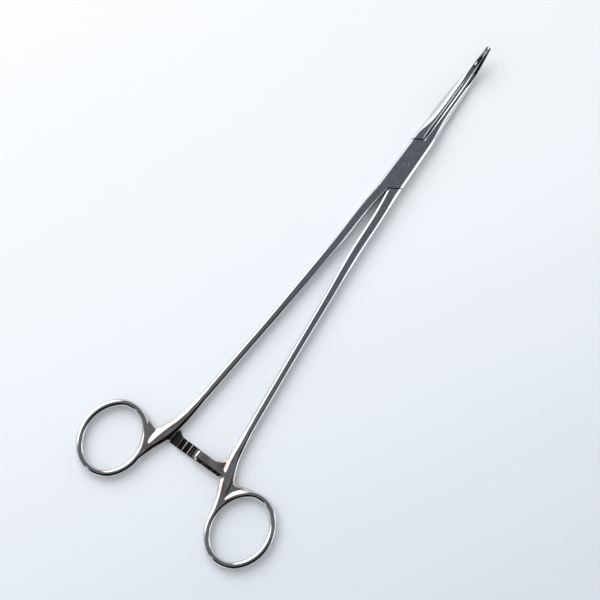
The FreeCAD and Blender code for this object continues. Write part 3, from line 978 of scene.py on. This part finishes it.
# distance along the middle line, inner face, outer side, height, middle height, bevels, how round
# they are and how far the top falls outwards
jaw_stations = (
    (jaw_start, 0.16, 4.365, 5.42, 2.7, 0.5, 0.86, 0.07, 0.07, 0.0),
    (16.0, 0.17, 4.30, 5.32, 2.687, 0.55, 1.02, 0.1, 0.3, 0.04),
    (20.25, 0.17, 4.15, 5.1, 2.65, 0.6, 1.4, 0.3, 1.6, 0.25),
    (26.0, 0.17, 3.95, 4.8, 2.6, 0.6, 1.8, 0.6, 2.7, 0.5),
    (34.0, 0.2, 3.6, 4.2, 2.55, 0.6, 1.65, 0.8, 2.7, 0.55),
    (bend_start, 0.275, 3.15, 3.6, bend_height, 0.5, 1.2, 0.7, 1.8, 0.4),
    (jaw_mid, 0.275, 2.45, 3.0, bend_height, 0.3, 0.45, 0.4, 0.7, 0.25),
    (jaw_point, 0.275, 1.5, 2.0, bend_height, 0.12, 0.3, 0.3, 0.5, 0.1),
    (jaw_end, 0.275, 1.0, 1.2, bend_height, 0.06, 0.22, 0.1, 0.36, 0.05),
)
jaw_steps = 96
blunt_share = 0.35
blunt_length = 0.6


def jaw_place(along, x, middle, rise):
    """A point of the jaw: how far along its line, x from the middle, and rise above the line."""
    angle = max(0.0, (along - bend_start) / bend_radius)
    y = min(along, bend_start) + bend_radius * math.sin(angle) - rise * math.sin(angle)
    z = middle + bend_radius * (1.0 - math.cos(angle)) + rise * math.cos(angle)
    return (x * mm, y * mm, z * mm)


for half, side in (("male", -1.0), ("female", 1.0)):
    rings = []
    for step in range(jaw_steps + 1):
        along = jaw_start + (jaw_end - jaw_start) * step / jaw_steps
        row = through(jaw_stations, along)
        inside, outside, height, middle, inner, outer, inner_round, outer_round, fall_off = row
        near_end = max(0.0, 1.0 - (jaw_end - along) / blunt_length)
        blunt = 1.0 - blunt_share * near_end**2
        side_x, top = inside + (outside - inside) * blunt, height / 2.0 * blunt
        outline = bevelled(inside, side_x, -top, top, inner, outer, inner_round, outer_round)
        outline = domed(outline, fall_off, inside, outside - inside)
        rings.append([jaw_place(along, x, middle, z) for x, z in outline])
    jaw = lofted(half + "_jaw", rings, side)
    keep_flat(jaw)
    half_pieces[half].append(plain(jaw))


# The jaw serrations: fine ridges across the facing sides of the jaws, from just before the curve
# to the tips. Those of one jaw stand opposite the grooves of the other, so that they mesh.

ridge_pitch = 0.9
ridge_land = 0.08
ridge_crest = -0.175
ridge_floor = 0.275
ridge_root = 0.475
ridges_start = 38.5
ridge_count = 26
ridge_offsets = {"female": 0.5, "male": 1.0}
ridge_height = 2.35
ridge_taper = 0.067

ridge_tree = bpy.data.node_groups.new("ridges along a jaw", "GeometryNodeTree")
ridge_sockets = {
    name: input_socket(ridge_tree, name, kind)
    for name, kind in (
        ("Ridge", "NodeSocketGeometry"),
        ("Count", "NodeSocketInt"),
        ("Pitch", "NodeSocketFloat"),
        ("Start", "NodeSocketFloat"),
        ("Bend start", "NodeSocketFloat"),
        ("Bend radius", "NodeSocketFloat"),
        ("Middle height", "NodeSocketFloat"),
        ("Height", "NodeSocketFloat"),
        ("Taper", "NodeSocketFloat"),
        ("Material", "NodeSocketMaterial"),
    )
}
ridge_tree.interface.new_socket("Ridges", in_out="OUTPUT", socket_type="NodeSocketGeometry")
nodes = Tree(ridge_tree)
given = ridge_tree.nodes.new("NodeGroupInput")
ridge, count, pitch, start, bend, radius, middle, tall, taper, finish = (
    Value(nodes, given.outputs[i]) for i in range(10)
)
along = start + nodes.add("GeometryNodeInputIndex", {}) * pitch
past_bend = along - bend
angle = (past_bend / radius).at_least(0.0)
y = along.at_most(bend) + radius * angle.maths("SINE", angle)
z = middle + radius * (1.0 - angle.maths("COSINE", angle))
line = nodes.add("GeometryNodeMeshLine", {"mode": "OFFSET"}, Count=count, Offset=(0.0, 0.0, 0.0))
place = nodes.add("ShaderNodeCombineXYZ", {}, 0.0, y, z)
points = nodes.add("GeometryNodeSetPosition", {}, Geometry=line, Position=place)
turned = nodes.add("ShaderNodeCombineXYZ", {}, angle, 0.0, 0.0)
stretched = nodes.add("ShaderNodeCombineXYZ", {}, 1.0, 1.0, tall - past_bend * taper)
copies_out(nodes, points, ridge, finish, Rotation=turned, Scale=stretched)

for half, side in (("male", -1.0), ("female", 1.0)):
    outline = (
        (ridge_crest, -ridge_land / 2.0),
        (ridge_crest, ridge_land / 2.0),
        (ridge_floor, ridge_pitch / 2.0),
        (ridge_root, ridge_pitch / 2.0),
        (ridge_root, -ridge_pitch / 2.0),
        (ridge_floor, -ridge_pitch / 2.0),
    )
    ends = [[(x * mm, y * mm, z * mm) for x, y in outline] for z in (-0.5, 0.5)]
    ridge_body = lofted(half + "_ridge", ends, side)
    row = ridge_body.modifiers.new("row", "NODES")
    row.node_group = ridge_tree
    row[ridge_sockets["Count"]] = ridge_count
    row[ridge_sockets["Pitch"]] = ridge_pitch * mm
    row[ridge_sockets["Start"]] = (ridges_start + ridge_offsets[half] * ridge_pitch) * mm
    row[ridge_sockets["Bend start"]] = bend_start * mm
    row[ridge_sockets["Bend radius"]] = bend_radius * mm
    row[ridge_sockets["Middle height"]] = bend_height * mm
    row[ridge_sockets["Height"]] = ridge_height
    row[ridge_sockets["Taper"]] = ridge_taper / mm
    row[ridge_sockets["Material"]] = halves_steel
    mesh = plain(ridge_body)
    mesh.shade_flat()
    half_pieces[half].append(mesh)


# Each half is one forging, so its parts become one piece, which rides on its body.

for half in ("female", "male"):
    shape = bmesh.new()
    for mesh in half_pieces[half]:
        shape.from_mesh(mesh)
    mesh = bpy.data.meshes.new(half + "_half_steel")
    shape.to_mesh(mesh)
    shape.free()
    whole = new_object(half + "_half_steel", mesh, halves_steel)
    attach(whole, half + "_body")
    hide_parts(half + "_half")
    print(half, "triangles", sum(len(p.vertices) - 2 for p in mesh.polygons))


# The rivet: a steel pin pressed through both plates of the box and ground flush with them, so
# that only its end shows as a faint ring in the satin face.

rivet_steel = steel("rivet_steel", satin_share=0.9)
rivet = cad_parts["lock_pin"]
rivet.data.materials.clear()
rivet.data.materials.append(rivet_steel)
